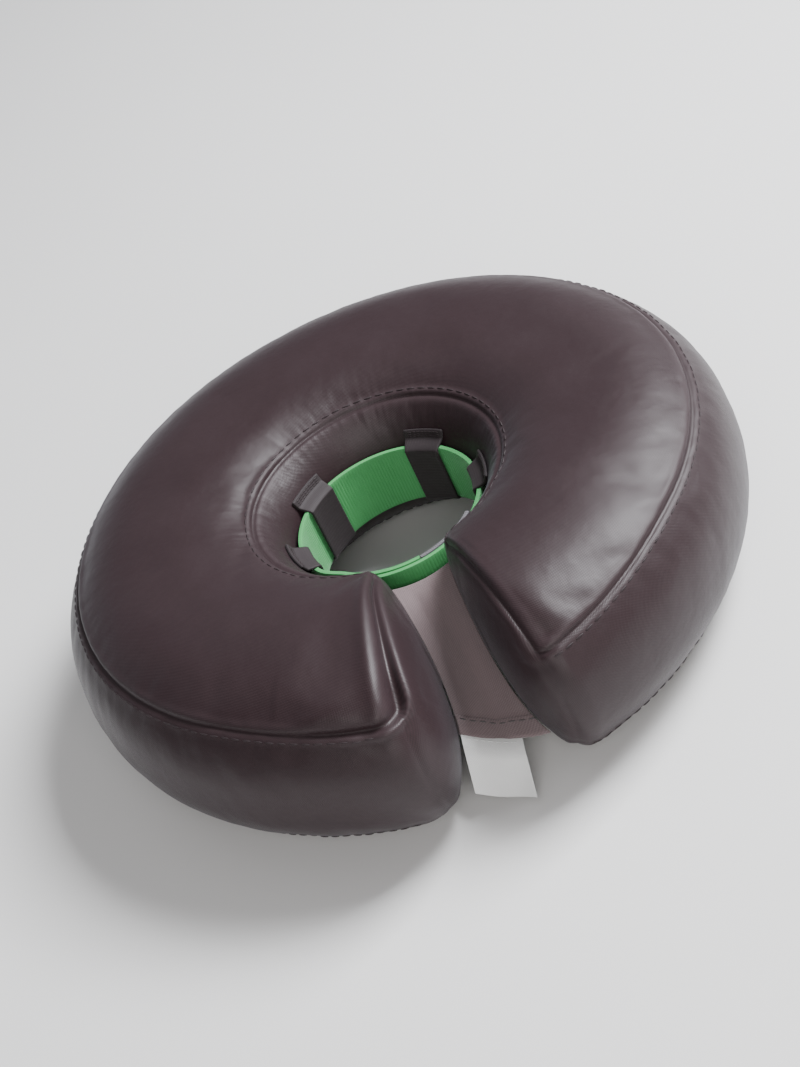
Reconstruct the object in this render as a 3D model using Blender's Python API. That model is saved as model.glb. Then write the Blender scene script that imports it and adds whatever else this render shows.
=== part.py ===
"""Inflatable recovery collar for a small pet, size XS, lying flat with its opening to the front.

An air bladder bent into a C fills a jacket sewn from a top panel, an outer band, a bottom panel, a neck
band and two end panels. A flap closes the gap between the ends and carries a blank care label. Four
keepers sewn to the neck band hold a webbing neck strap, which laps over itself at the front and ends
in a hook tab.

Metres, +Z up. The gap faces -Y. The collar is built round the axis of its neck opening and then moved
back or forward, so that the origin is on the ground under the middle of its bounding box.
"""

import math
from collections import namedtuple

import bmesh
import bpy
from mathutils import Matrix, Vector

# Overall sizes of the inflated collar
COLLAR_DIAMETER = 0.200
COLLAR_HEIGHT = 0.056
NECK_OPENING = 0.056
END_GAP_AT_NECK = 0.011  # between the crowns of the two end panels
END_GAP_AT_FRONT = 0.019

# How full the jacket is: 2 is an ellipse, and more is squarer
SECTION_SQUARENESS = 2.3
END_SQUARENESS = 2.2
FOOT_PRESS = 0.0005  # how far the underside is pressed flat by the ground

# Cloth, film and sewing
COVER_WALL = 0.0015
SEAM_GAP = 0.0003
OUTER_SEAM_ANGLE = 44.0  # degrees above and below the middle of the outer wall
OUTER_SEAM_DIP = 8.0  # degrees that it has come nearer to that middle at the ends
OUTER_SEAM_DIP_REACH = 0.045
NECK_SEAM_ANGLE = 44.0  # degrees above and below the middle of the neck wall

BLADDER_WALL = 0.0010
BLADDER_CLEARANCE = 0.0006
BLADDER_END_ROUND = 0.040
BLADDER_END_SQUARENESS = 2.0

FLAP_WALL = 0.0012
FLAP_NECK_RISE = 0.008  # above the tube's middle, at the neck
FLAP_FRONT_DROP = 0.012  # below the tube's middle, at the front
FLAP_NECK_SETBACK = 0.002  # from the neck wall
FLAP_FRONT_SETBACK = 0.022  # from the outer wall
FLAP_FRONT_SKEW = 0.008  # how much further out its right front corner reaches than its left
FLAP_FRONT_TILT = 0.006  # how much lower its right front corner hangs than its left
FLAP_SAG = 0.0015

LABEL_WIDTH = 0.014
LABEL_LENGTH = 0.016
LABEL_WALL = 0.0010
LABEL_OFFSET = -0.002  # of its middle, from the plane of symmetry
LABEL_BEND_RADIUS = 0.007
LABEL_BEND = 60.0  # degrees
LABEL_LEAN = 12.0  # degrees, to the left

STRAP_WIDTH = 0.020
STRAP_THICKNESS = 0.0015
STRAP_OVERLAP = 0.024
STRAP_CROSSING = 0.010  # length in which the free end steps over the other
HOOK_TAB_LENGTH = 0.020

KEEPER_WIDTH = 0.012
KEEPER_WALL = 0.0010
KEEPER_FOOT = 0.003

VALVE_DIAMETER = 0.011
VALVE_FLANGE = 0.0012
VALVE_STEM_DIAMETER = 0.006
VALVE_STEM_LENGTH = 0.006

CLEARANCE = 0.0003  # between pieces that lie on each other

# How finely the soft pieces are faceted
RING_STATIONS = 44
CLOSE_SPACING = 0.0012  # least length between the stations of a fold
OPEN_SPACING = 0.0036  # least length from those to the evenly spaced stations
FOLD_STEPS = (0.0, 0.7, -0.7, 1.7, -1.7, 2.8, -2.8)  # in half widths of the fold
PANEL_FACETS = 7
BAND_FACETS = 6
BLADDER_STATIONS = 28
BLADDER_FACETS = 16
BLADDER_END_STEPS = (0.0, 0.08, 0.3, 0.62)  # shares of its end's rounding
END_RINGS = 5
STRAP_STATIONS = 56
HOOK_TAB_STATIONS = 8
FLAP_STATIONS = 8
FLAP_FACETS = 4
LABEL_STATIONS = 8
KEEPER_STEPS = 3
TURNED_SIDES = 16

# The jacket's two ends: how far back from the crown each one starts to close, and where its seam
# runs. Lengths are shares of the tube's width.
End = namedtuple("End", "side round_share seam_share")
LEFT = End("left", 0.170, 0.105)
RIGHT = End("right", 0.140, 0.080)

# The jacket's folds. Lengths are shares of the tube's width, and angles run round the section in
# degrees, from the middle of the outer wall over the top.
Fold = namedtuple("Fold", "end along_share half_width_share depth_share start_angle end_angle")
FOLDS = (
    Fold(LEFT, 0.105, 0.026, 0.040, 34.0, 140.0),  # the tuck along the left end's seam
    Fold(LEFT, 0.270, 0.080, 0.010, 50.0, 120.0),  # the slack behind that tuck
    Fold(RIGHT, 0.110, 0.035, 0.020, 36.0, 80.0),  # the pucker at the right end's corner
)

FOLD_RUN_IN = 0.125  # share of its angles in which a fold reaches its full depth

KEEPER_TURNS = (-8.0, 50.0, 130.0, 188.0)  # degrees round the neck, from +X

# Sizes that follow from those above
TUBE_WIDTH = (COLLAR_DIAMETER - NECK_OPENING) / 2
TUBE_HALF_WIDTH = TUBE_WIDTH / 2
TUBE_HALF_HEIGHT = (COLLAR_HEIGHT + FOOT_PRESS) / 2
TUBE_MIDDLE = TUBE_HALF_HEIGHT - FOOT_PRESS
RING_RADIUS = (COLLAR_DIAMETER + NECK_OPENING) / 4
NECK_RADIUS = NECK_OPENING / 2
FRONT = -math.pi / 2


def end_turn(radius):
    """Angle from the front to the crown of an end, at a distance from the collar's axis."""
    widening = (END_GAP_AT_FRONT - END_GAP_AT_NECK) * (radius - NECK_RADIUS) / TUBE_WIDTH
    return math.asin((END_GAP_AT_NECK + widening) / 2 / radius)


RING_LENGTH = RING_RADIUS * (2 * math.pi - 2 * end_turn(RING_RADIUS))


def smooth_step(share):
    share = min(max(share, 0.0), 1.0)
    return share * share * (3 - 2 * share)


def signed_power(value):
    return math.copysign(abs(value) ** (2 / SECTION_SQUARENESS), value)


def from_end(along, end):
    """Length from an end's crown to a place along the ring."""
    return along if end is LEFT else RING_LENGTH - along


def nearer_end(along):
    return LEFT if along < RING_LENGTH / 2 else RIGHT


def seam_angles(along):
    """Angles of the four seams round the section: outer and neck above, then neck and outer below."""
    length = from_end(along, nearer_end(along))
    dip = OUTER_SEAM_DIP * (1 - smooth_step(length / OUTER_SEAM_DIP_REACH))
    outer = math.radians(OUTER_SEAM_ANGLE - dip)
    neck = math.radians(180 - NECK_SEAM_ANGLE)
    return (outer, neck, 2 * math.pi - neck, 2 * math.pi - outer, 2 * math.pi + outer)


def fold_depth(along, angle):
    """How far the jacket is folded in, or pushed out where negative, at a place on its surface."""
    depth = 0.0
    degrees = math.degrees(angle)
    for fold in FOLDS:
        if not fold.start_angle < degrees < fold.end_angle:
            continue
        offset = (from_end(along, fold.end) / TUBE_WIDTH - fold.along_share) / fold.half_width_share
        across = (1 - offset**2) * math.exp(-(offset**2) / 2)
        run = (degrees - fold.start_angle) / (fold.end_angle - fold.start_angle)
        fading = smooth_step(run / FOLD_RUN_IN) * (1 - run)
        depth += fold.depth_share * TUBE_WIDTH * across * fading
    return depth


def closing(length, inset, end_round, squareness):
    """Share of the full section that is left at a length from an end, as the tube closes there."""
    reach = (end_round - length) / (end_round - inset)
    reach = min(max(reach, 0.0), 1.0)
    return (1 - reach**squareness) ** (1 / squareness)


def ring_point(along, out, up, floor=0.0):
    """A point from its length along the ring, its distance out from the ring and its height."""
    radius = RING_RADIUS + out
    end = end_turn(radius)
    turn = FRONT - end - along / RING_LENGTH * (2 * math.pi - 2 * end)
    height = max(TUBE_MIDDLE + up, floor)
    return Vector((radius * math.cos(turn), radius * math.sin(turn), height))


def jacket_point(along, angle, inset=0.0):
    """A point of the jacket's surface, or of the surface that lies an inset inside it."""
    end = nearer_end(along)
    share = closing(from_end(along, end), inset, end.round_share * TUBE_WIDTH, END_SQUARENESS)
    depth = inset + fold_depth(along, angle)
    out = share * (TUBE_HALF_WIDTH - depth) * signed_power(math.cos(angle))
    up = share * (TUBE_HALF_HEIGHT - depth) * signed_power(math.sin(angle))
    return ring_point(along, out, up, floor=inset)


def bladder_point(along, angle, inset):
    length = from_end(along, nearer_end(along))
    share = closing(length, inset, BLADDER_END_ROUND, BLADDER_END_SQUARENESS)
    out = share * (TUBE_HALF_WIDTH - inset) * signed_power(math.cos(angle))
    up = share * (TUBE_HALF_HEIGHT - inset) * signed_power(math.sin(angle))
    return ring_point(along, out, up, floor=inset)


def neck_wall_radius(rise):
    """Distance from the collar's axis to the neck wall, at a height from the tube's middle."""
    share = (1 - (abs(rise) / TUBE_HALF_HEIGHT) ** SECTION_SQUARENESS) ** (1 / SECTION_SQUARENESS)
    return RING_RADIUS - TUBE_HALF_WIDTH * share


def end_panel_x(end, y, z):
    """Distance from the plane of symmetry to an end panel, at a place beside the gap."""
    end_round = end.round_share * TUBE_WIDTH
    radius = -y
    for _ in range(4):
        out = radius - RING_RADIUS
        across = (abs(out) / TUBE_HALF_WIDTH) ** SECTION_SQUARENESS
        across += (abs(z - TUBE_MIDDLE) / TUBE_HALF_HEIGHT) ** SECTION_SQUARENESS
        share = min(across ** (1 / SECTION_SQUARENESS), 0.98)
        along = end_round * (1 - (1 - share**END_SQUARENESS) ** (1 / END_SQUARENESS))
        x = radius * math.sin(end_turn(radius) + along / RING_RADIUS)
        radius = math.hypot(x, y)
    return x


def evenly(start, stop, steps):
    return [start + (stop - start) * step / steps for step in range(steps + 1)]


def jacket_stations():
    """Lengths along the ring where the panels have a section: closer at the ends and the folds."""
    first, last = (end.seam_share * TUBE_WIDTH + SEAM_GAP / 2 for end in (LEFT, RIGHT))
    last = RING_LENGTH - last
    close = []
    for end in (LEFT, RIGHT):
        shares = [end.seam_share + (end.round_share - end.seam_share) * step for step in (0.5, 1.0)]
        for fold in FOLDS:
            if fold.end is end:
                shares += [fold.along_share + step * fold.half_width_share for step in FOLD_STEPS]
        close += [from_end(share * TUBE_WIDTH, end) for share in shares]
    base = evenly(first, last, RING_STATIONS)
    stations = [first, last]
    for candidates, spacing in ((close, CLOSE_SPACING), (base[1:-1], OPEN_SPACING)):
        for along in candidates:
            clear = all(abs(along - other) > spacing for other in stations)
            if first < along < last and clear:
                stations.append(along)
    return sorted(stations)


def plain_material(name, colour, roughness):
    material = bpy.data.materials.new(name)
    material.use_nodes = True
    shader = material.node_tree.nodes["Principled BSDF"]
    shader.inputs["Base Color"].default_value = (*colour, 1.0)
    shader.inputs["Roughness"].default_value = roughness
    shader.inputs["Metallic"].default_value = 0.0
    return material


def add_object(name, bm, material, crease_angle=50.0):
    """Makes an object of a finished bmesh, shaded smooth but for its sharp edges."""
    bmesh.ops.remove_doubles(bm, verts=bm.verts, dist=0.000001)
    bmesh.ops.recalc_face_normals(bm, faces=bm.faces)
    mesh = bpy.data.meshes.new(name)
    bm.to_mesh(mesh)
    bm.free()
    mesh.shade_smooth()
    mesh.set_sharp_from_angle(angle=math.radians(crease_angle))
    mesh.materials.append(material)
    made = bpy.data.objects.new(name, mesh)
    bpy.context.scene.collection.objects.link(made)
    return made


def grid_faces(bm, grid, wrap):
    """Quads between neighbouring rows and columns of a grid of vertices."""
    for row, following in zip(grid, grid[1:]):
        count = len(row)
        for column in range(count if wrap else count - 1):
            beside = (column + 1) % count
            bm.faces.new((row[column], row[beside], following[beside], following[column]))


def add_wall(name, outer, inner, material, wrap=False):
    """A cloth wall between an outer and an inner sheet of points, closed along its borders."""
    bm = bmesh.new()
    faces = [[[bm.verts.new(point) for point in row] for row in sheet] for sheet in (outer, inner)]
    for grid in faces:
        grid_faces(bm, grid, wrap)
    outside, inside = faces
    borders = [(outside[0], inside[0])]
    if not wrap:
        borders.append((outside[-1], inside[-1]))
        for side in (0, -1):
            borders.append(([row[side] for row in outside], [row[side] for row in inside]))
    for border in borders:
        grid_faces(bm, border, wrap)
    return add_object(name, bm, material)


def add_panel(name, seam, facets, material):
    """One strip of the jacket, from its seam to the next one and from end to end of the C."""
    half_gap = SEAM_GAP / 2 / TUBE_HALF_HEIGHT
    outer, inner = [], []
    for along in jacket_stations():
        start, stop = seam_angles(along)[seam : seam + 2]
        angles = evenly(start + half_gap, stop - half_gap, facets)
        outer.append([jacket_point(along, angle) for angle in angles])
        inner.append([jacket_point(along, angle, COVER_WALL) for angle in angles])
    return add_wall(name, outer, inner, material)


def add_end_panel(name, end, material):
    """The bulging panel that closes one end of the jacket, inside its seam."""
    seams = seam_angles(from_end(0.0, end))
    angles = []
    facets_of_edges = (PANEL_FACETS, BAND_FACETS, PANEL_FACETS, BAND_FACETS)
    for start, stop, facets in zip(seams, seams[1:], facets_of_edges):
        angles += evenly(start, stop, facets)[:-1]
    rim = end.seam_share * TUBE_WIDTH - SEAM_GAP / 2
    sheets = []
    for inset in (0.0, COVER_WALL):
        sheet = []
        for step in range(END_RINGS + 1):
            along = from_end(inset + (rim - inset) * (1 - step / END_RINGS) ** 2, end)
            sheet.append([jacket_point(along, angle, inset) for angle in angles])
        sheets.append(sheet)
    return add_wall(name, sheets[0], sheets[1], material, wrap=True)


def add_cutter(name, bm):
    """A shape that only cuts another object."""
    cutter = add_object(name, bm, cover_cloth)
    cutter.hide_render = True
    cutter.display_type = "WIRE"
    return cutter


def cut(target, cutter):
    modifier = target.modifiers.new(cutter.name, "BOOLEAN")
    modifier.operation = "DIFFERENCE"
    modifier.solver = "EXACT"
    modifier.object = cutter


def bladder_surface(inset):
    """A closed tube bent into a C, as a bmesh. Its two ends close to a point."""
    bm = bmesh.new()
    angles = evenly(0.0, 2 * math.pi, BLADDER_FACETS)[:-1]
    rounding = [inset + (BLADDER_END_ROUND - inset) * share for share in BLADDER_END_STEPS]
    middle = evenly(BLADDER_END_ROUND, RING_LENGTH - BLADDER_END_ROUND, BLADDER_STATIONS)
    stations = rounding + middle + [RING_LENGTH - along for along in reversed(rounding)]
    grid = [[bm.verts.new(bladder_point(along, angle, inset)) for angle in angles] for along in stations]
    grid_faces(bm, grid, wrap=True)
    return bm


def round_cutter(name, diameter, inner_end, outer_end):
    """A round cutter along Y, through the back of the collar at the valve."""
    bm = bmesh.new()
    radius, depth = diameter / 2, outer_end - inner_end
    bmesh.ops.create_cone(
        bm, cap_ends=True, segments=TURNED_SIDES, radius1=radius, radius2=radius, depth=depth
    )
    cutter = add_cutter(name, bm)
    cutter.location = (0.0, (inner_end + outer_end) / 2, TUBE_MIDDLE)
    cutter.rotation_euler = (math.pi / 2, 0.0, 0.0)
    return cutter


def add_bladder(material):
    """The air bladder: a hollow tube with rounded ends, open only at the bore for its valve."""
    outset = COVER_WALL + BLADDER_CLEARANCE
    bladder = add_object("bladder", bladder_surface(outset), material)
    cut(bladder, add_cutter("bladder_cavity", bladder_surface(outset + BLADDER_WALL)))
    outside = RING_RADIUS + TUBE_HALF_WIDTH
    bore = round_cutter("bladder_bore", VALVE_STEM_DIAMETER + 2 * CLEARANCE, RING_RADIUS, outside)
    cut(bladder, bore)
    return bladder


def add_valve(material):
    """The stopper valve in the back of the collar: a flange in the outer band, a stem in the bladder."""
    bm = bmesh.new()
    profile = (
        (0.0, -VALVE_STEM_LENGTH),
        (VALVE_STEM_DIAMETER / 2, -VALVE_STEM_LENGTH),
        (VALVE_STEM_DIAMETER / 2, 0.0),
        (VALVE_DIAMETER / 2, 0.0),
        (VALVE_DIAMETER / 2, VALVE_FLANGE),
        (0.0, VALVE_FLANGE),
    )
    points = [bm.verts.new((radius, 0.0, height)) for radius, height in profile]
    edges = [bm.edges.new(pair) for pair in zip(points, points[1:])]
    bmesh.ops.spin(
        bm,
        geom=points + edges,
        axis=(0, 0, 1),
        cent=(0, 0, 0),
        angle=2 * math.pi,
        steps=TURNED_SIDES,
        use_merge=True,
    )
    valve = add_object("valve", bm, material)
    bladder_outside = RING_RADIUS + TUBE_HALF_WIDTH - COVER_WALL - BLADDER_CLEARANCE
    valve.location = (0.0, bladder_outside + CLEARANCE, TUBE_MIDDLE)
    valve.rotation_euler = (-math.pi / 2, 0.0, 0.0)
    return valve


def flap_front(across):
    """Y and Z of the flap's stretched front edge, from -1 at its left corner to 1 at its right one."""
    y = -(COLLAR_DIAMETER / 2 - FLAP_FRONT_SETBACK) - FLAP_FRONT_SKEW * across / 2
    z = TUBE_MIDDLE - FLAP_FRONT_DROP - FLAP_FRONT_TILT * across / 2
    return y, z


def add_flap(material):
    """The closing flap: a sheet that slopes through the gap, its sides against the end panels."""
    neck_y = -(NECK_RADIUS + FLAP_NECK_SETBACK)
    neck_z = TUBE_MIDDLE + FLAP_NECK_RISE
    sheets = []
    for depth in (0.0, FLAP_WALL):
        sheet = []
        for share in evenly(0.0, 1.0, FLAP_STATIONS):
            row = []
            for across in evenly(-1.0, 1.0, FLAP_FACETS):
                front_y, front_z = flap_front(across)
                y = neck_y + (front_y - neck_y) * share
                z = neck_z + (front_z - neck_z) * share - depth
                half_width = end_panel_x(LEFT if across < 0 else RIGHT, y, z) - CLEARANCE
                row.append(Vector((half_width * across, y, z - FLAP_SAG * (1 - across**2))))
            sheet.append(row)
        sheets.append(sheet)
    return add_wall("closing_flap", sheets[0], sheets[1], material)


def add_label(material):
    """The care label: a blank strip that bends down from the flap's front edge."""
    half_gap = END_GAP_AT_FRONT / 2
    sheets = []
    for depth in (0.0, LABEL_WALL):
        sheet = []
        for length in evenly(0.0, LABEL_LENGTH, LABEL_STATIONS):
            turned = min(length / LABEL_BEND_RADIUS, math.radians(LABEL_BEND))
            straight = length - turned * LABEL_BEND_RADIUS
            ahead = LABEL_BEND_RADIUS * math.sin(turned) + straight * math.cos(turned)
            down = LABEL_BEND_RADIUS * (1 - math.cos(turned)) + straight * math.sin(turned)
            row = []
            for side in (-1, 1):
                x = LABEL_OFFSET + side * LABEL_WIDTH / 2
                front_y, front_z = flap_front(x / half_gap)
                front_z -= FLAP_SAG * (1 - (x / half_gap) ** 2) + (FLAP_WALL - LABEL_WALL) / 2
                x -= length * math.sin(math.radians(LABEL_LEAN))
                y = front_y - CLEARANCE - ahead + depth * math.sin(turned)
                row.append(Vector((x, y, front_z - down - depth * math.cos(turned))))
            sheet.append(row)
        sheets.append(sheet)
    return add_wall("care_label", sheets[0], sheets[1], material)


def strap_radii():
    """Radii of the middle of the webbing: against the neck band, and lapped over itself."""
    against_band = NECK_RADIUS - CLEARANCE - STRAP_THICKNESS / 2
    return against_band, against_band - STRAP_THICKNESS - CLEARANCE


def strap_start():
    """Angle of the strap's covered end. The closure, lap and hook tab, is centred on the front."""
    against_band, _ = strap_radii()
    return FRONT - (STRAP_OVERLAP + HOOK_TAB_LENGTH) / 2 / against_band


def add_hoop(name, turns, radius_at, material):
    """A strip of tape on its edge, along the given turns, at a radius that may change."""
    sheets = []
    for side in (1, -1):
        sheet = []
        for turned in turns:
            radius = radius_at(turned) + side * STRAP_THICKNESS / 2
            angle = strap_start() + turned
            x, y = radius * math.cos(angle), radius * math.sin(angle)
            sheet.append([Vector((x, y, TUBE_MIDDLE + edge * STRAP_WIDTH / 2)) for edge in (-1, 1)])
        sheets.append(sheet)
    return add_wall(name, sheets[0], sheets[1], material)


def add_strap(material):
    """The neck strap: one turn of webbing inside the neck band, its free end lapped over its start."""
    against_band, lapped = strap_radii()
    crossing = STRAP_CROSSING / against_band

    def radius_at(turned):
        step = smooth_step((turned - (2 * math.pi - crossing)) / crossing)
        return against_band + (lapped - against_band) * step

    turns = evenly(0.0, 2 * math.pi + STRAP_OVERLAP / against_band, STRAP_STATIONS)
    return add_hoop("neck_strap", turns, radius_at, material)


def add_hook_tab(material):
    """The hook tab that is sewn to the strap's free end and goes on from it."""
    against_band, lapped = strap_radii()
    first = 2 * math.pi + STRAP_OVERLAP / against_band + CLEARANCE / lapped
    turns = evenly(first, first + HOOK_TAB_LENGTH / lapped, HOOK_TAB_STATIONS)
    return add_hoop("strap_hook_tab", turns, lambda turned: lapped, material)


def add_keeper(name, turn, material):
    """One keeper: a loop of tape that stands off the neck band and holds the strap to it."""
    face = NECK_RADIUS - 2 * CLEARANCE - STRAP_THICKNESS - KEEPER_WALL
    slot = STRAP_WIDTH / 2 + CLEARANCE
    foot = slot + KEEPER_FOOT
    outline = (
        (face, foot),
        (face, -foot),
        (neck_wall_radius(foot) - CLEARANCE, -foot),
        (neck_wall_radius(slot) - CLEARANCE, -slot),
        (face + KEEPER_WALL, -slot),
        (face + KEEPER_WALL, slot),
        (neck_wall_radius(slot) - CLEARANCE, slot),
        (neck_wall_radius(foot) - CLEARANCE, foot),
    )
    spread = KEEPER_WIDTH / NECK_RADIUS
    bm = bmesh.new()
    corner = [bm.verts.new((radius, 0.0, rise)) for radius, rise in outline]
    profile = bm.faces.new(corner)
    first_turn = Matrix.Rotation(-spread / 2, 3, "Z")
    bmesh.ops.rotate(bm, verts=bm.verts, cent=(0, 0, 0), matrix=first_turn)
    bmesh.ops.spin(
        bm, geom=[profile], axis=(0, 0, 1), cent=(0, 0, 0), angle=spread, steps=KEEPER_STEPS
    )
    keeper = add_object(name, bm, material)
    keeper.location = (0.0, 0.0, TUBE_MIDDLE)
    keeper.rotation_euler = (0.0, 0.0, math.radians(turn))
    return keeper


def centre_over_origin():
    """Moves the collar along Y, so that the middle of its bounding box is over the origin."""
    bpy.context.view_layer.update()
    shown = [made for made in bpy.data.objects if not made.hide_render]
    places = [(made.matrix_world @ vertex.co).y for made in shown for vertex in made.data.vertices]
    middle = (min(places) + max(places)) / 2
    for made in bpy.data.objects:
        made.location.y -= middle


for left_over in list(bpy.data.objects):
    bpy.data.objects.remove(left_over)

cover_cloth = plain_material("cover_cloth", (0.022, 0.019, 0.020), 0.62)
keeper_tape = plain_material("keeper_tape", (0.030, 0.027, 0.028), 0.80)
flap_cloth = plain_material("flap_cloth", (0.060, 0.052, 0.053), 0.85)
label_satin = plain_material("label_satin", (0.80, 0.80, 0.78), 0.55)
strap_webbing = plain_material("strap_webbing", (0.08, 0.42, 0.13), 0.70)
hook_cloth = plain_material("hook_cloth", (0.16, 0.15, 0.17), 0.90)
bladder_film = plain_material("bladder_film", (0.70, 0.74, 0.74), 0.25)
valve_plastic = plain_material("valve_plastic", (0.62, 0.65, 0.66), 0.35)

add_panel("top_panel", 0, PANEL_FACETS, cover_cloth)
add_panel("neck_band", 1, BAND_FACETS, cover_cloth)
add_panel("bottom_panel", 2, PANEL_FACETS, cover_cloth)
outer_band = add_panel("outer_band", 3, BAND_FACETS, cover_cloth)
cut(
    outer_band,
    round_cutter("valve_hole", VALVE_DIAMETER + 2 * CLEARANCE, RING_RADIUS, COLLAR_DIAMETER),
)
add_end_panel("left_end_panel", LEFT, cover_cloth)
add_end_panel("right_end_panel", RIGHT, cover_cloth)
add_bladder(bladder_film)
add_valve(valve_plastic)
add_flap(flap_cloth)
add_label(label_satin)
add_strap(strap_webbing)
add_hook_tab(hook_cloth)
for number, keeper_turn in enumerate(KEEPER_TURNS, start=1):
    add_keeper(f"strap_keeper_{number}", keeper_turn, keeper_tape)
centre_over_origin()
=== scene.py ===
import math
from collections import namedtuple

import bmesh
import bpy
from mathutils import Matrix, Vector, noise
from mathutils.bvhtree import BVHTree


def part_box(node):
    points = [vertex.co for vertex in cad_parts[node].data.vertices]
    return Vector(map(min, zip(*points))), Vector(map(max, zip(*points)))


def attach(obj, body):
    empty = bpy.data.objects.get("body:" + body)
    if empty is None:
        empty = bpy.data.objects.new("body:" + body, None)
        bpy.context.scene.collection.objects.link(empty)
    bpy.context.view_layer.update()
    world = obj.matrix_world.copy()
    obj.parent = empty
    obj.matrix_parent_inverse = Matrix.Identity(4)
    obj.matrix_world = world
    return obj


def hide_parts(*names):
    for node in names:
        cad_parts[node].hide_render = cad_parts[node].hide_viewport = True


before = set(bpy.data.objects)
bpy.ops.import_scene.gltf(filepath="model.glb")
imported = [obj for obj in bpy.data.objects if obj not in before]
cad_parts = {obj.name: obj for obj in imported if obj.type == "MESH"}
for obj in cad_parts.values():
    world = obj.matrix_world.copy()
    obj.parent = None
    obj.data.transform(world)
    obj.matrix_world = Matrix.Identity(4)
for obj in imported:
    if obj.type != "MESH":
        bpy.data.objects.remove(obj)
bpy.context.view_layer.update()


# The jacket: charcoal nylon satin, sewn from a top panel, a bottom panel, an outer band, a neck band
# and two end panels. Air in the bladder keeps it tight, and the seams hold their sewn length, so the
# cloth beside them puckers. Lengths are metres, and angles round the tube start at its outer wall.
COLLAR_DIAMETER = 0.200
COLLAR_HEIGHT = 0.056
NECK_OPENING = 0.056
END_GAP_AT_NECK = 0.011
END_GAP_AT_FRONT = 0.019
SECTION_SQUARENESS = 2.3
END_SQUARENESS = 2.2
FOOT_PRESS = 0.0005
OUTER_SEAM_ANGLE = 44.0
OUTER_SEAM_DIP = 8.0
OUTER_SEAM_DIP_REACH = 0.045
NECK_SEAM_ANGLE = 44.0
CLEARANCE = 0.0003

TUBE_WIDTH = (COLLAR_DIAMETER - NECK_OPENING) / 2
TUBE_HALF_WIDTH = TUBE_WIDTH / 2
TUBE_HALF_HEIGHT = (COLLAR_HEIGHT + FOOT_PRESS) / 2
TUBE_MIDDLE = TUBE_HALF_HEIGHT - FOOT_PRESS
RING_RADIUS = (COLLAR_DIAMETER + NECK_OPENING) / 4
NECK_RADIUS = NECK_OPENING / 2
FRONT = -math.pi / 2

# The two ends, in shares of the tube's width: where each starts to close, and where its seam runs
End = namedtuple("End", "round_share seam_share")
LEFT = End(0.170, 0.105)
RIGHT = End(0.140, 0.080)

# Folds that the sewing leaves, in shares of the tube's width and in degrees round the tube
Fold = namedtuple("Fold", "end along_share half_width_share depth_share start_angle end_angle")
FOLDS = (
    Fold(LEFT, 0.105, 0.026, 0.040, 26.0, 140.0),
    Fold(LEFT, 0.270, 0.080, 0.010, 50.0, 120.0),
    Fold(RIGHT, 0.110, 0.035, 0.020, 36.0, 80.0),
)
FOLD_RUN_IN = 0.24


def end_turn(radius):
    """Angle from the front to an end's crown, at a distance from the collar's axis."""
    widening = (END_GAP_AT_FRONT - END_GAP_AT_NECK) * (radius - NECK_RADIUS) / TUBE_WIDTH
    return math.asin((END_GAP_AT_NECK + widening) / 2 / radius)


RING_LENGTH = RING_RADIUS * (2 * math.pi - 2 * end_turn(RING_RADIUS))


def smooth_step(share):
    share = min(max(share, 0.0), 1.0)
    return share * share * (3 - 2 * share)


def bell(distance, width):
    return math.exp(-((distance / width) ** 2))


def signed_power(value):
    return math.copysign(abs(value) ** (2 / SECTION_SQUARENESS), value)


def from_end(along, end):
    return along if end is LEFT else RING_LENGTH - along


def nearer_end(along):
    return LEFT if along < RING_LENGTH / 2 else RIGHT


def seam_angles(along):
    """Angles of the four long seams: outer and neck above, then neck and outer below."""
    length = from_end(along, nearer_end(along))
    dip = OUTER_SEAM_DIP * (1 - smooth_step(length / OUTER_SEAM_DIP_REACH))
    outer = math.radians(OUTER_SEAM_ANGLE - dip)
    neck = math.radians(180 - NECK_SEAM_ANGLE)
    return (outer, neck, 2 * math.pi - neck, 2 * math.pi - outer, 2 * math.pi + outer)


def fold_depth(along, angle):
    depth = 0.0
    degrees = math.degrees(angle) % 360
    for fold in FOLDS:
        if not fold.start_angle < degrees < fold.end_angle:
            continue
        offset = (from_end(along, fold.end) / TUBE_WIDTH - fold.along_share) / fold.half_width_share
        across = (1 - offset**2) * math.exp(-(offset**2) / 2)
        run = (degrees - fold.start_angle) / (fold.end_angle - fold.start_angle)
        depth += fold.depth_share * TUBE_WIDTH * across * smooth_step(run / FOLD_RUN_IN) * (1 - run)
    return depth


def ring_turn(along, radius):
    end = end_turn(radius)
    return FRONT - end - along / RING_LENGTH * (2 * math.pi - 2 * end)


def jacket_point(along, angle):
    """A point of the inflated jacket, from its length along the ring and its angle round the tube."""
    end = nearer_end(along)
    reach = min(max(1 - from_end(along, end) / (end.round_share * TUBE_WIDTH), 0.0), 1.0)
    share = (1 - reach**END_SQUARENESS) ** (1 / END_SQUARENESS)
    depth = fold_depth(along, angle)
    radius = RING_RADIUS + share * (TUBE_HALF_WIDTH - depth) * signed_power(math.cos(angle))
    rise = share * (TUBE_HALF_HEIGHT - depth) * signed_power(math.sin(angle))
    turn = ring_turn(along, radius)
    height = max(TUBE_MIDDLE + rise, 0.0)
    return Vector((radius * math.cos(turn), radius * math.sin(turn), height))


CAP_ROWS = 26  # rows of the cloth from an end's crown to the full tube
ROW_SPACING = 0.00155
PANEL_COLUMNS = (24, 14, 24, 16)  # top panel, neck band, bottom panel, outer band
SEAM_CROWDING = 0.6  # how much closer the columns lie at the seams

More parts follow.
